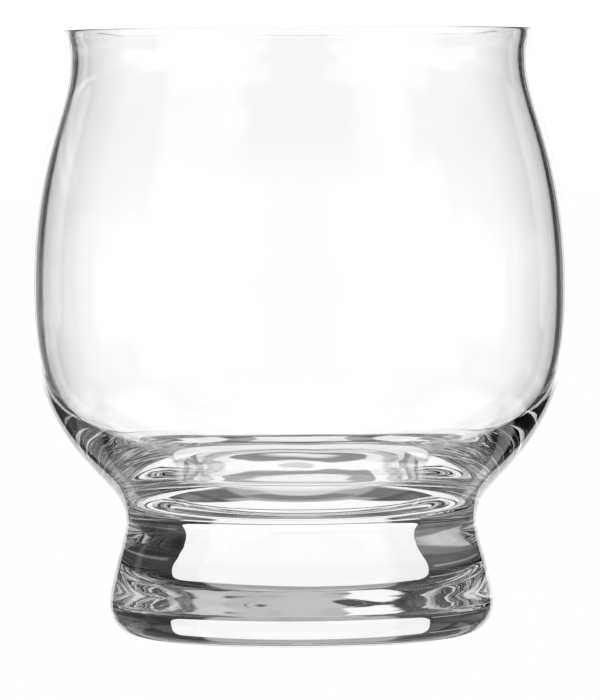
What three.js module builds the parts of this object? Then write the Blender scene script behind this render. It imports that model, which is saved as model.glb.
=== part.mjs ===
// Footed whiskey tumbler in clear glass: a thin bulb-shaped bowl joined to a heavy solid foot.
// Millimetres, +Z up. The origin is the centre of the circle that the foot stands on.
import * as THREE from "three";

// Outside outline: radius and height at each place where the glass stands upright.
const HEIGHT = 98;
const RIM_RADIUS = 38.0;
const NECK = { radius: 37.5, z: 93.3 };
const BELLY = { radius: 43.8, z: 56.0 };
const WAIST = { radius: 28.5, z: 18.5 };
const HEEL = { radius: 31.2, z: 4.9 };

// Underside: the flat ring that it stands on, and the shallow hollow inside that ring.
const STAND_OUTER_RADIUS = 27.0;
const STAND_INNER_RADIUS = 25.0;
const PUNT_DEPTH = 1.5;

// Inside of the bowl: an even wall from the lip to the neck, the widest place of the inside, the
// turn where the side passes into the dished floor, and the middle of the floor above the waist.
const WALL = 1.8;
const WELL = { radius: 41.8, z: 56 };
const TURN = { radius: 29.55, z: 28.04, slope: 50.6 };
const SIDE_REACH = 18.7;
const TURN_REACH = 9.7;
const FLOOR_Z = 20.3;
const FLOOR_FLATNESS = 13.9;

// The lip is cut flat, with small round edges of this radius.
const LIP_EDGE = 0.25;

// The bowl and the foot meet at the waist, with this gap between the two solids.
const JOIN_GAP = 0.3;

const SEGMENTS = 48;

const glass = new THREE.MeshStandardMaterial({
  color: 0xf4f8f7,
  roughness: 0.02,
  metalness: 0,
  transparent: true,
  opacity: 0.3,
});

// A smooth line between two upright places. Each reach is the share of the height between them
// over which the line leaves that place.
function uprightCurve(from, to, fromReach, toReach, steps) {
  const rise = to.z - from.z;
  const curve = new THREE.CubicBezierCurve(
    new THREE.Vector2(from.radius, from.z),
    new THREE.Vector2(from.radius, from.z + fromReach * rise),
    new THREE.Vector2(to.radius, to.z - toReach * rise),
    new THREE.Vector2(to.radius, to.z),
  );
  return curve.getPoints(steps);
}

// The same place on the inside of the wall.
function inside(place) {
  return { radius: place.radius - WALL, z: place.z };
}

// Joins stretches of outline into one, dropping the point that each shares with the last.
function joinStretches(stretches) {
  const points = [];
  for (const stretch of stretches) {
    for (const point of stretch) {
      const last = points[points.length - 1];
      if (!last || last.distanceTo(point) > 1e-6) {
        points.push(point);
      }
    }
  }
  return points;
}

function turned(name, outline) {
  const geometry = new THREE.LatheGeometry(outline, SEGMENTS);
  geometry.rotateX(Math.PI / 2);
  const mesh = new THREE.Mesh(geometry, glass);
  mesh.name = name;
  return mesh;
}

// Blown bowl: flat underneath at the waist, out to the belly, in at the neck, and a cut lip.
function makeBowl() {
  const bottom = { radius: WAIST.radius, z: WAIST.z + JOIN_GAP / 2 };
  const rim = { radius: RIM_RADIUS, z: HEIGHT - LIP_EDGE };
  const outerEdge = new THREE.EllipseCurve(
    RIM_RADIUS - LIP_EDGE, rim.z, LIP_EDGE, LIP_EDGE, 0, Math.PI / 2,
  );
  const innerEdge = new THREE.EllipseCurve(
    RIM_RADIUS - WALL + LIP_EDGE, rim.z, LIP_EDGE, LIP_EDGE, Math.PI / 2, Math.PI,
  );
  const slope = THREE.MathUtils.degToRad(TURN.slope);
  const turn = new THREE.Vector2(TURN.radius, TURN.z);
  const reach = new THREE.Vector2(Math.sin(slope), Math.cos(slope)).multiplyScalar(TURN_REACH);
  const side = new THREE.CubicBezierCurve(
    new THREE.Vector2(WELL.radius, WELL.z),
    new THREE.Vector2(WELL.radius, WELL.z - SIDE_REACH),
    turn.clone().add(reach),
    turn,
  );
  const floor = new THREE.CubicBezierCurve(
    turn,
    turn.clone().sub(reach),
    new THREE.Vector2(FLOOR_FLATNESS, FLOOR_Z),
    new THREE.Vector2(0, FLOOR_Z),
  );
  const outline = joinStretches([
    [new THREE.Vector2(0, bottom.z)],
    uprightCurve(bottom, BELLY, 0.22, 0.76, 12),
    uprightCurve(BELLY, NECK, 0.58, 0.22, 10),
    uprightCurve(NECK, rim, 0.52, 0.34, 2),
    outerEdge.getPoints(3),
    innerEdge.getPoints(3),
    uprightCurve(inside(rim), inside(NECK), 0.34, 0.52, 2),
    uprightCurve(inside(NECK), WELL, 0.22, 0.58, 10),
    side.getPoints(9),
    floor.getPoints(9),
  ]);
  return turned("bowl", outline);
}

// Pressed foot: solid glass, hollowed a little underneath, with a rounded heel and a narrower top.
function makeFoot() {
  const top = { radius: WAIST.radius, z: WAIST.z - JOIN_GAP / 2 };
  const punt = new THREE.QuadraticBezierCurve(
    new THREE.Vector2(0, PUNT_DEPTH),
    new THREE.Vector2(STAND_INNER_RADIUS / 2, PUNT_DEPTH),
    new THREE.Vector2(STAND_INNER_RADIUS, 0),
  );
  const heel = new THREE.EllipseCurve(
    STAND_OUTER_RADIUS, HEEL.z, HEEL.radius - STAND_OUTER_RADIUS, HEEL.z, -Math.PI / 2, 0,
  );
  const outline = joinStretches([
    punt.getPoints(4),
    heel.getPoints(5),
    uprightCurve(HEEL, top, 0.3, 0.24, 7),
    [new THREE.Vector2(0, top.z)],
  ]);
  return turned("foot", outline);
}

const tumbler = new THREE.Group();
tumbler.add(makeBowl(), makeFoot());

export default tumbler;
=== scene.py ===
import math

import bpy
from mathutils import Matrix, Vector, noise


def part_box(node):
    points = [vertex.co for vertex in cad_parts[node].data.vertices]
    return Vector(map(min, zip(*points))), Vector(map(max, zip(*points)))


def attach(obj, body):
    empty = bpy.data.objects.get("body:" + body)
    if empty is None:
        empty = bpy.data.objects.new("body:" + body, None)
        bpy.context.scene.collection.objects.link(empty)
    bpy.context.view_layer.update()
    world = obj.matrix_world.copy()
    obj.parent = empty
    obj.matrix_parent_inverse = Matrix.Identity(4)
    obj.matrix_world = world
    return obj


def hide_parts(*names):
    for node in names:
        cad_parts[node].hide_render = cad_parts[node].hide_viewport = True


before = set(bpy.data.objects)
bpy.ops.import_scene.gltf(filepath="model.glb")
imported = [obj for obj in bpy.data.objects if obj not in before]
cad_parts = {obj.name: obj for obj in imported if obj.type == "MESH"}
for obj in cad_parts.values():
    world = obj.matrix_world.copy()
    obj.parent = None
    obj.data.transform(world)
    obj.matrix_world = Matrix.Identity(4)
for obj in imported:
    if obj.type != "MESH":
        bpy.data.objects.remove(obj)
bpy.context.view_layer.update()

MM = 0.001


# ---------------------------------------------------------------- sizes
# The outermost sizes come from the frame, and the rest are as in the CAD: radii and heights at the places
# where the outside stands upright, then the standing ring, the wall and the inside.
bowl_low, bowl_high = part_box("bowl")
foot_low, foot_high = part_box("foot")
HEIGHT = bowl_high.z
BELLY_RADIUS = bowl_high.x
HEEL_RADIUS = foot_high.x
JOIN_Z = (bowl_low.z + foot_high.z) / 2

RIM_RADIUS = 38.0 * MM
NECK_RADIUS, NECK_Z = 37.5 * MM, 93.3 * MM
BELLY_Z = 56.0 * MM
WAIST_RADIUS = 28.5 * MM
HEEL_Z = 4.9 * MM
STAND_OUTER_RADIUS, STAND_INNER_RADIUS = 27.0 * MM, 25.0 * MM
PUNT_DEPTH = 1.5 * MM
WALL = 1.8 * MM
WELL_RADIUS, WELL_Z = 41.8 * MM, 56 * MM
# The turn is where the inside of the wall passes into the floor; its slope is in degrees from upright.
TURN_RADIUS, TURN_Z, TURN_SLOPE = 29.55 * MM, 28.04 * MM, 50.6
SIDE_REACH, TURN_REACH = 18.7 * MM, 9.7 * MM
FLOOR_Z, FLOOR_FLATNESS = 20.3 * MM, 13.9 * MM
LIP_EDGE = 0.25 * MM

AROUND = 288


# ---------------------------------------------------------------- outlines, as (radius, height)
# The last number of each stretch is how many steps it has.
def bezier(a, b, c, d, steps):
    """Points along a cubic curve from a to d, without its first point."""
    points = []
    for i in range(1, steps + 1):
        t = i / steps
        s = 1 - t
        w = (s * s * s, 3 * s * s * t, 3 * s * t * t, t * t * t)
        points.append(tuple(sum(k * p[axis] for k, p in zip(w, (a, b, c, d))) for axis in (0, 1)))
    return points


def upright(start, end, start_reach, end_reach, steps):
    """A smooth line between two upright places; it leaves each over that share of the height between."""
    rise = end[1] - start[1]
    leave = (start[0], start[1] + start_reach * rise)
    arrive = (end[0], end[1] - end_reach * rise)
    return bezier(start, leave, arrive, end, steps)


def arc(centre, radii, start, end, steps):
    """Part of an ellipse, angles in degrees, without its first point."""
    points = []
    for i in range(1, steps + 1):
        a = math.radians(start + (end - start) * i / steps)
        points.append((centre[0] + radii[0] * math.cos(a), centre[1] + radii[1] * math.sin(a)))
    return points


def bowl_outline():
    """From the waist up the outside, over the lip and down the inside to the middle of the floor."""
    edge = LIP_EDGE
    waist, belly = (WAIST_RADIUS, JOIN_Z), (BELLY_RADIUS, BELLY_Z)
    neck, rim = (NECK_RADIUS, NECK_Z), (RIM_RADIUS, HEIGHT - edge)
    neck_in, rim_in = [(p[0] - WALL, p[1]) for p in (neck, rim)]
    well, bend = (WELL_RADIUS, WELL_Z), (TURN_RADIUS, TURN_Z)
    slope = math.radians(TURN_SLOPE)
    reach = (TURN_REACH * math.sin(slope), TURN_REACH * math.cos(slope))
    above, below = (bend[0] + reach[0], bend[1] + reach[1]), (bend[0] - reach[0], bend[1] - reach[1])
    line = [waist]
    line += upright(waist, belly, 0.22, 0.76, 110)
    line += upright(belly, neck, 0.58, 0.22, 80)
    line += upright(neck, rim, 0.52, 0.34, 12)
    line += arc((RIM_RADIUS - edge, rim[1]), (edge, edge), 0, 90, 6)
    line += [(RIM_RADIUS - WALL + edge, HEIGHT)]
    line += arc((RIM_RADIUS - WALL + edge, rim[1]), (edge, edge), 90, 180, 6)
    line += upright(rim_in, neck_in, 0.34, 0.52, 12)
    line += upright(neck_in, well, 0.22, 0.58, 80)
    line += bezier(well, (WELL_RADIUS, WELL_Z - SIDE_REACH), above, bend, 90)
    line += bezier(bend, below, (FLOOR_FLATNESS, FLOOR_Z), (0, FLOOR_Z), 90)
    return line


def foot_outline():
    """From the middle of the hollow underneath, over the standing ring and the heel, up to the waist."""
    stand = (STAND_INNER_RADIUS, 0)
    heel = (HEEL_RADIUS, HEEL_Z)
    mid = (STAND_INNER_RADIUS / 2, PUNT_DEPTH)
    line = [(0, PUNT_DEPTH)]
    line += bezier(line[0], mid, mid, stand, 24)
    line += [(STAND_OUTER_RADIUS, 0)]
    line += arc((STAND_OUTER_RADIUS, HEEL_Z), (HEEL_RADIUS - STAND_OUTER_RADIUS, HEEL_Z), -90, 0, 24)
    line += upright(heel, (WAIST_RADIUS, JOIN_Z), 0.3, 0.24, 60)
    return line


# ---------------------------------------------------------------- turning an outline into glass
def turn(name, outline, seam_first):
    """A closed body turned from an outline that starts or ends on the axis. A flat disc at JOIN_Z closes
    its other end: it is the seam, which has the second material."""
    verts, faces, rings = [], [], []
    for radius, z in outline:
        if radius < 1e-9:
            rings.append([len(verts)])
            verts.append((0, 0, z))
            continue
        rings.append(list(range(len(verts), len(verts) + AROUND)))
        for k in range(AROUND):
            a = math.tau * k / AROUND
            verts.append((radius * math.cos(a), radius * math.sin(a), z))
    for low, high in zip(rings, rings[1:]):
        for k in range(AROUND):
            n = (k + 1) % AROUND
            if len(low) == 1:
                faces.append((low[0], high[n], high[k]))
            elif len(high) == 1:
                faces.append((low[k], low[n], high[0]))
            else:
                faces.append((low[k], low[n], high[n], high[k]))
    skin = len(faces)
    ring = rings[0] if seam_first else rings[-1]
    centre = len(verts)
    verts.append((0, 0, JOIN_Z))
    for k in range(AROUND):
        n = (k + 1) % AROUND
        faces.append((centre, ring[n], ring[k]) if seam_first else (centre, ring[k], ring[n]))
    mesh = bpy.data.meshes.new(name)
    mesh.from_pydata(verts, [], faces)
    mesh.shade_smooth()
    for polygon in mesh.polygons[skin:]:
        polygon.material_index = 1
    edge = {frozenset((ring[k], ring[(k + 1) % AROUND])) for k in range(AROUND)}
    sharp = mesh.attributes.new("sharp_edge", "BOOLEAN", "EDGE")
    for i, e in enumerate(mesh.edges):
        sharp.data[i].value = frozenset(e.vertices) in edge
    piece = bpy.data.objects.new(name, mesh)
    bpy.context.scene.collection.objects.link(piece)
    return piece


# ---------------------------------------------------------------- unevenness
# Pressed and blown glass is a little uneven: waves of about a hundredth of a millimetre, which bend the
# light only where the glass is thick. They die out up the bowl, at the join and under the foot.
# Each is the height of the waves, their length around the glass and their length up it.
BOWL_WAVES = (0.012 * MM, 9 * MM, 5 * MM)
FOOT_WAVES = (0.015 * MM, 20 * MM, 2.6 * MM)
# The waves themselves swirl: by how many wave lengths, and how fine the swirl is beside the waves.
SWIRL, SWIRL_FINENESS = 0.8, 0.6
# The inside of the bowl was smoothed by blowing, so its waves have only this share of their height.
INSIDE_SHARE = 0.12
# The waves fade out between these two heights, within this distance of the join, and from the heel down.
CALM_FROM, CALM_AT = 34 * MM, 52 * MM
CALM_BAND = 1.5 * MM
# Without a seed of its own, the noise library takes one from the clock.
WAVE_SEED = 3
noise.seed_set(WAVE_SEED)


def blend(value, low, high):
    """From 0 at low to 1 at high, smoothly."""
    t = min(max((value - low) / (high - low), 0), 1)
    return t * t * (3 - 2 * t)


def make_uneven(piece, waves):
    """Moves the skin in and out along its normals. The belly, the seam's edge and the table stay clear."""
    mesh = piece.data
    height, length, rise = waves
    moves = []
    for vertex in mesh.vertices:
        x, y, z = vertex.co
        share = (1 - blend(z, CALM_FROM, CALM_AT)) * blend(z, 0, HEEL_Z)
        if vertex.normal.z > 0 and z > JOIN_Z:
            share *= INSIDE_SHARE
        if math.hypot(x, y) > WAIST_RADIUS - WALL:
            share *= blend(abs(z - JOIN_Z), 0, CALM_BAND)
        place = Vector((x / length, y / length, z / rise))
        bent = place + SWIRL * noise.noise_vector(SWIRL_FINENESS * place)
        moves.append(vertex.normal * (share * height * noise.noise(bent)))
    for vertex, move in zip(mesh.vertices, moves):
        vertex.co += move


# ---------------------------------------------------------------- materials
GLASS_IOR = 1.52
BOWL_TINT = (0.985, 0.992, 0.994, 1)
# Painted shade: darker than the glass itself, a shaded copy of the bowl's tint, as the light crosses the
# thick foot many times.
FOOT_SHADED_TINT = (0.840, 0.846, 0.846, 1)
TINT_DRIFT = 1.006
HAZE_FROM, HAZE_FULL, HAZE_ROUGHNESS = 0.45, 0.80, 0.012
RIPPLE_STRENGTH, RIPPLE_HEIGHT = 0.15, 0.006 * MM
# How many noise cells there are in a metre, and the detail in them.
TINT_CLOUD, HAZE_CLOUD, RIPPLE_CLOUD = (45, 2), (120, 4), (380, 1)


def new_material(name):
    material = bpy.data.materials.new(name)
    material.use_nodes = True
    return material, material.node_tree.nodes, material.node_tree.links


def clear_glass(name, tint_and_shade):
    """Polished clear glass: a trace of colour that drifts, darker for the foot as painted shade, faint haze
    in patches and fine ripples.
    """
    material, nodes, links = new_material(name)
    shader = nodes["Principled BSDF"]
    shader.inputs["IOR"].default_value = GLASS_IOR
    shader.inputs["Transmission Weight"].default_value = 1.0
    place = nodes.new("ShaderNodeTexCoord")

    def cloud(scale, detail):
        texture = nodes.new("ShaderNodeTexNoise")
        links.new(place.outputs["Object"], texture.inputs["Vector"])
        texture.inputs["Scale"].default_value = scale
        texture.inputs["Detail"].default_value = detail
        return texture.outputs["Fac"]

    colour = nodes.new("ShaderNodeMix")
    colour.data_type = "RGBA"
    links.new(cloud(*TINT_CLOUD), colour.inputs["Factor"])
    colour.inputs["A"].default_value = tint_and_shade
    colour.inputs["B"].default_value = [min(1, channel * TINT_DRIFT) for channel in tint_and_shade]
    links.new(colour.outputs["Result"], shader.inputs["Base Color"])

    haze = nodes.new("ShaderNodeMapRange")
    links.new(cloud(*HAZE_CLOUD), haze.inputs["Value"])
    haze.inputs["From Min"].default_value = HAZE_FROM
    haze.inputs["From Max"].default_value = HAZE_FULL
    haze.inputs["To Max"].default_value = HAZE_ROUGHNESS
    links.new(haze.outputs["Result"], shader.inputs["Roughness"])

    ripple = nodes.new("ShaderNodeBump")
    links.new(cloud(*RIPPLE_CLOUD), ripple.inputs["Height"])
    ripple.inputs["Strength"].default_value = RIPPLE_STRENGTH
    ripple.inputs["Distance"].default_value = RIPPLE_HEIGHT
    links.new(ripple.outputs["Normal"], shader.inputs["Normal"])
    return material


def fused_seam():
    """Where the bowl and the foot are one mass of glass, light goes straight on."""
    material, nodes, links = new_material("fused_seam")
    nodes.remove(nodes["Principled BSDF"])
    through = nodes.new("ShaderNodeBsdfTransparent")
    links.new(through.outputs[0], nodes["Material Output"].inputs["Surface"])
    return material


# ---------------------------------------------------------------- the tumbler
bowl = turn("tumbler_bowl", bowl_outline(), True)
foot = turn("tumbler_foot", foot_outline(), False)
seam = fused_seam()
for piece, node, waves, tint_and_shade in (
    (bowl, "bowl", BOWL_WAVES, BOWL_TINT),
    (foot, "foot", FOOT_WAVES, FOOT_SHADED_TINT),
):
    make_uneven(piece, waves)
    piece.data.materials.append(clear_glass(node + "_clear_glass", tint_and_shade))
    piece.data.materials.append(seam)
    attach(piece, "root")
    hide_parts(node)

# ---------------------------------------------------------------- camera
# Where the eye is, how far it looks down and leans in degrees, the lens and the sensor in millimetres,
# and how far it sees in metres.
EYE_DISTANCE = 9.79 * HEIGHT
EYE_HEIGHT = 0.896 * HEIGHT
LOOK_DOWN, LEAN = 2.498, -0.36
LENS, SENSOR = 304.05, 36
FAR_LIMIT = 100
scene = bpy.context.scene
camera = bpy.data.objects.new("camera", bpy.data.cameras.new("camera"))
scene.collection.objects.link(camera)
camera.data.lens = LENS
camera.data.sensor_width = SENSOR
camera.data.clip_end = FAR_LIMIT
look = Matrix.Rotation(math.radians(90 - LOOK_DOWN), 4, "X") @ Matrix.Rotation(math.radians(LEAN), 4, "Z")
camera.matrix_world = Matrix.Translation(Vector((0, -EYE_DISTANCE, EYE_HEIGHT))) @ look
scene.camera = camera

# ---------------------------------------------------------------- studio
# What the glass sees of the room, as soft boxes and dark cards by direction from the glass, with the table
# as painted light and painted shade among them, in degrees:
# the middle's bearing (0 is straight behind the glass, + to the right) and elevation, the half width and
# half height, the softness of the edges, and the brightness. A later card stands in front of the earlier.
ROOM = 0.09
CARDS_AND_TABLE_SHADE = (
    # the pale table as painted light in the world, with dark patches of painted shade around the glass,
    # from the far side to straight down, then in front of the glass
    (0, -66, 200, 14, 5, 0.45),
    (0, -84, 200, 9, 4, 0.70),
    (-84, -42, 24, 14, 6, 1.15),
    (84, -42, 24, 14, 6, 1.15),
    (0, -42, 24, 17, 4, 1.12),
    (-47, -38, 18, 9, 3, 0.20),
    (47, -36, 18, 9, 3, 0.12),
    (-45, -57, 12, 7, 3, 0.15),
    (45, -57, 12, 7, 3, 0.18),
    (0, -70, 42, 5, 3, 0.24),
    (180, -56, 44, 8, 4, 1.05),
    (180, -34, 44, 13, 5, 0.10),
    # soft boxes and dark stands over and beside the camera
    (135, -13, 30, 9, 6, 0.92),
    (-135, -13, 30, 9, 6, 0.92),
    (180, 57, 34, 16, 5, 0.62),
    (-140, 42, 14, 10, 4, 1.20),
    (146, 50, 14, 12, 5, 0.60),
    (130, 34, 10, 10, 4, 0.68),
    (-137, 0, 22, 10, 5, 0.98),
    (137, 0, 22, 10, 5, 0.42),
    (-106, 2, 10, 8, 4, 0.60),
    (106, 2, 10, 8, 4, 0.55),
    (-120, 26, 8, 13, 4, 0.05),
    (118, 20, 8, 10, 4, 0.10),
    # straight to the left and the right
    (-82, -6, 14, 14, 5, 0.30),
    (80, -8, 14, 14, 5, 0.30),
    (-92, -3, 10, 6, 3, 0.90),
    (92, -3, 10, 6, 3, 0.90),
    # black cards either side of the panel, with the table's pale edge and thin light strips in them
    (-47, 6, 22, 18, 3, 0.05),
    (46, 6, 24, 18, 3, 0.015),
    (-46, -8, 20, 8, 3, 0.14),
    (44, -8, 22, 8, 3, 0.05),
    (-46, -22, 20, 6, 2, 0.25),
    (46, -22, 20, 6, 2, 0.03),
    (42, -28, 18, 3, 1.5, 0.80),
    (-46, -26, 20, 5, 2, 0.74),
    (50, -14, 15, 1.2, 2, 0.22),
    (-48, -4, 15, 1.0, 1.6, 0.40),
    (-46, 9, 14, 0.8, 1.2, 0.55),
    # above and below the panel
    (0, 70, 60, 10, 5, 1.20),
    (0, 60, 40, 4, 1, 0.60),
    (0, 55.8, 40, 1.2, 0.6, 1.15),
    (0, 53.2, 40, 1.5, 0.6, 0.08),
    (0, 48, 34, 4, 1, 1.00),
    (0, 37, 32, 7.5, 2, 0.13),
    (0, 37, 3, 6, 2, 0.45),
    (0, 24, 22, 6, 4, 0.60),
    (0, 12, 22, 8, 3, 0.48),
    # painted shadow: a thin dark line where the panel meets the table
    (0, -24.5, 22, 1.2, 0.8, 0.15),
    # what the upper bowl sees beside and over the panel, and the upright strips in it
    (0, 0, 23, 6.5, 1, 1.18),
    (-11.5, 4, 8.7, 5.2, 0.6, 1.12),
    (11.2, 4, 9.0, 5.2, 0.6, 1.12),
    (0, 4, 1.0, 5.2, 0.6, 1.10),
)


def studio_world():
    """The cards, and the table with its painted shade, as a world. The camera itself sees plain white past
    the glass.
    """
    world = bpy.data.worlds.new("studio")
    world.use_nodes = True
    nodes, links = world.node_tree.nodes, world.node_tree.links

    def math_node(operation, *values):
        node = nodes.new("ShaderNodeMath")
        node.operation = operation
        for socket, value in zip(node.inputs, values):
            if isinstance(value, (int, float)):
                socket.default_value = value
            else:
                links.new(value, socket)
        return node.outputs[0]

    def within(distance, half, soft):
        node = nodes.new("ShaderNodeMapRange")
        node.interpolation_type = "SMOOTHSTEP"
        links.new(distance, node.inputs["Value"])
        node.inputs["From Min"].default_value = half + soft / 2
        node.inputs["From Max"].default_value = half - soft / 2
        return node.outputs[0]

    direction = nodes.new("ShaderNodeTexCoord").outputs["Generated"]
    split = nodes.new("ShaderNodeSeparateXYZ")
    links.new(direction, split.inputs[0])
    bearing = math_node("DEGREES", math_node("ARCTAN2", split.outputs["X"], split.outputs["Y"]))
    elevation = math_node("DEGREES", math_node("ARCSINE", split.outputs["Z"]))
    light = ROOM
    for middle, height, half_width, half_height, soft, brightness in CARDS_AND_TABLE_SHADE:
        across = math_node("ABSOLUTE", math_node("WRAP", math_node("SUBTRACT", bearing, middle), 180, -180))
        up = math_node("ABSOLUTE", math_node("SUBTRACT", elevation, height))
        card = math_node("MULTIPLY", within(across, half_width, soft), within(up, half_height, soft))
        step = nodes.new("ShaderNodeMix")
        links.new(card, step.inputs["Factor"])
        if isinstance(light, float):
            step.inputs["A"].default_value = light
        else:
            links.new(light, step.inputs["A"])
        step.inputs["B"].default_value = brightness
        light = step.outputs["Result"]
    seen = nodes.new("ShaderNodeLightPath")
    strength = math_node("MAXIMUM", seen.outputs["Is Camera Ray"], light)
    links.new(strength, nodes["Background"].inputs["Strength"])
    nodes["Background"].inputs["Color"].default_value = (1, 1, 1, 1)
    return world


scene.world = studio_world()

# The lit panel close behind the glass, with rounded upper corners. The camera doesn't see it: the
# picture's ground is plain white.
PANEL_Y = 280 * MM
PANEL_LEFT, PANEL_RIGHT = -142 * MM, 147 * MM
PANEL_BOTTOM, PANEL_TOP = -105 * MM, 58 * MM
ROUND_WIDTH, ROUND_HEIGHT = 16 * MM, 40 * MM
PANEL_LIGHT = 1.18
# Along an axis, from one place to another in millimetres, the light changes between these two shares.
PANEL_SHADES = (("Z", -60, -30, 1.05, 1.0), ("X", -100, -76, 0.93, 1.0), ("X", 98, 102, 1.0, 0.95))

FLOOR_SIZE = 40 * HEIGHT
FLOOR_LIGHT = 1.0
FLOOR_DROP = 0.05 * MM


def stage_sheet(name, corners, light):
    """A flat sheet that glows; light is a number or a function that makes nodes and returns an output."""
    mesh = bpy.data.meshes.new(name)
    mesh.from_pydata(corners, [], [range(len(corners))])
    material, nodes, links = new_material(name)
    nodes.remove(nodes["Principled BSDF"])
    glow = nodes.new("ShaderNodeEmission")
    if callable(light):
        links.new(light(nodes, links), glow.inputs["Strength"])
    else:
        glow.inputs["Strength"].default_value = light
    links.new(glow.outputs[0], nodes["Material Output"].inputs["Surface"])
    mesh.materials.append(material)
    sheet = bpy.data.objects.new(name, mesh)
    scene.collection.objects.link(sheet)
    return sheet


def panel_light(nodes, links):
    """The panel is brighter low down and greyer towards its two ends."""
    place = nodes.new("ShaderNodeTexCoord")
    split = nodes.new("ShaderNodeSeparateXYZ")
    links.new(place.outputs["Object"], split.inputs[0])
    light = None
    for axis, start, end, low, high in PANEL_SHADES:
        ramp = nodes.new("ShaderNodeMapRange")
        ramp.interpolation_type = "SMOOTHSTEP"
        links.new(split.outputs[axis], ramp.inputs["Value"])
        for socket, value in zip(ramp.inputs[1:5], (start * MM, end * MM, low, high)):
            socket.default_value = value
        product = nodes.new("ShaderNodeMath")
        product.operation = "MULTIPLY"
        links.new(ramp.outputs["Result"], product.inputs[0])
        if light is None:
            product.inputs[1].default_value = PANEL_LIGHT
        else:
            links.new(light, product.inputs[1])
        light = product.outputs[0]
    return light


def panel_corners():
    """Round the panel from its lower left corner, seen from the glass."""
    shoulder = PANEL_TOP - ROUND_HEIGHT
    radii = (ROUND_WIDTH, ROUND_HEIGHT)
    line = [(PANEL_LEFT, PANEL_BOTTOM), (PANEL_RIGHT, PANEL_BOTTOM)]
    line += arc((PANEL_RIGHT - ROUND_WIDTH, shoulder), radii, 0, 90, 12)
    line += arc((PANEL_LEFT + ROUND_WIDTH, shoulder), radii, 90, 180, 12)
    return [(x, PANEL_Y, z) for x, z in line]


panel = stage_sheet("light_panel", panel_corners(), panel_light)
panel.visible_camera = False

# The pale floor. What the glass shows of the table, painted shade included, is among the cards, so only the
# camera sees this.
floor = stage_sheet("pale_floor", [
    (-FLOOR_SIZE, -FLOOR_SIZE, 0), (FLOOR_SIZE, -FLOOR_SIZE, 0),
    (FLOOR_SIZE, FLOOR_SIZE, 0), (-FLOOR_SIZE, FLOOR_SIZE, 0),
], FLOOR_LIGHT)
floor.location.z = -FLOOR_DROP
floor.visible_transmission = False
floor.visible_glossy = False

# Light has to cross the thick foot many times before a path may end.
scene.view_settings.view_transform = "Standard"
scene.cycles.max_bounces = 32
scene.cycles.transmission_bounces = 32
scene.cycles.glossy_bounces = 16
scene.cycles.transparent_max_bounces = 32
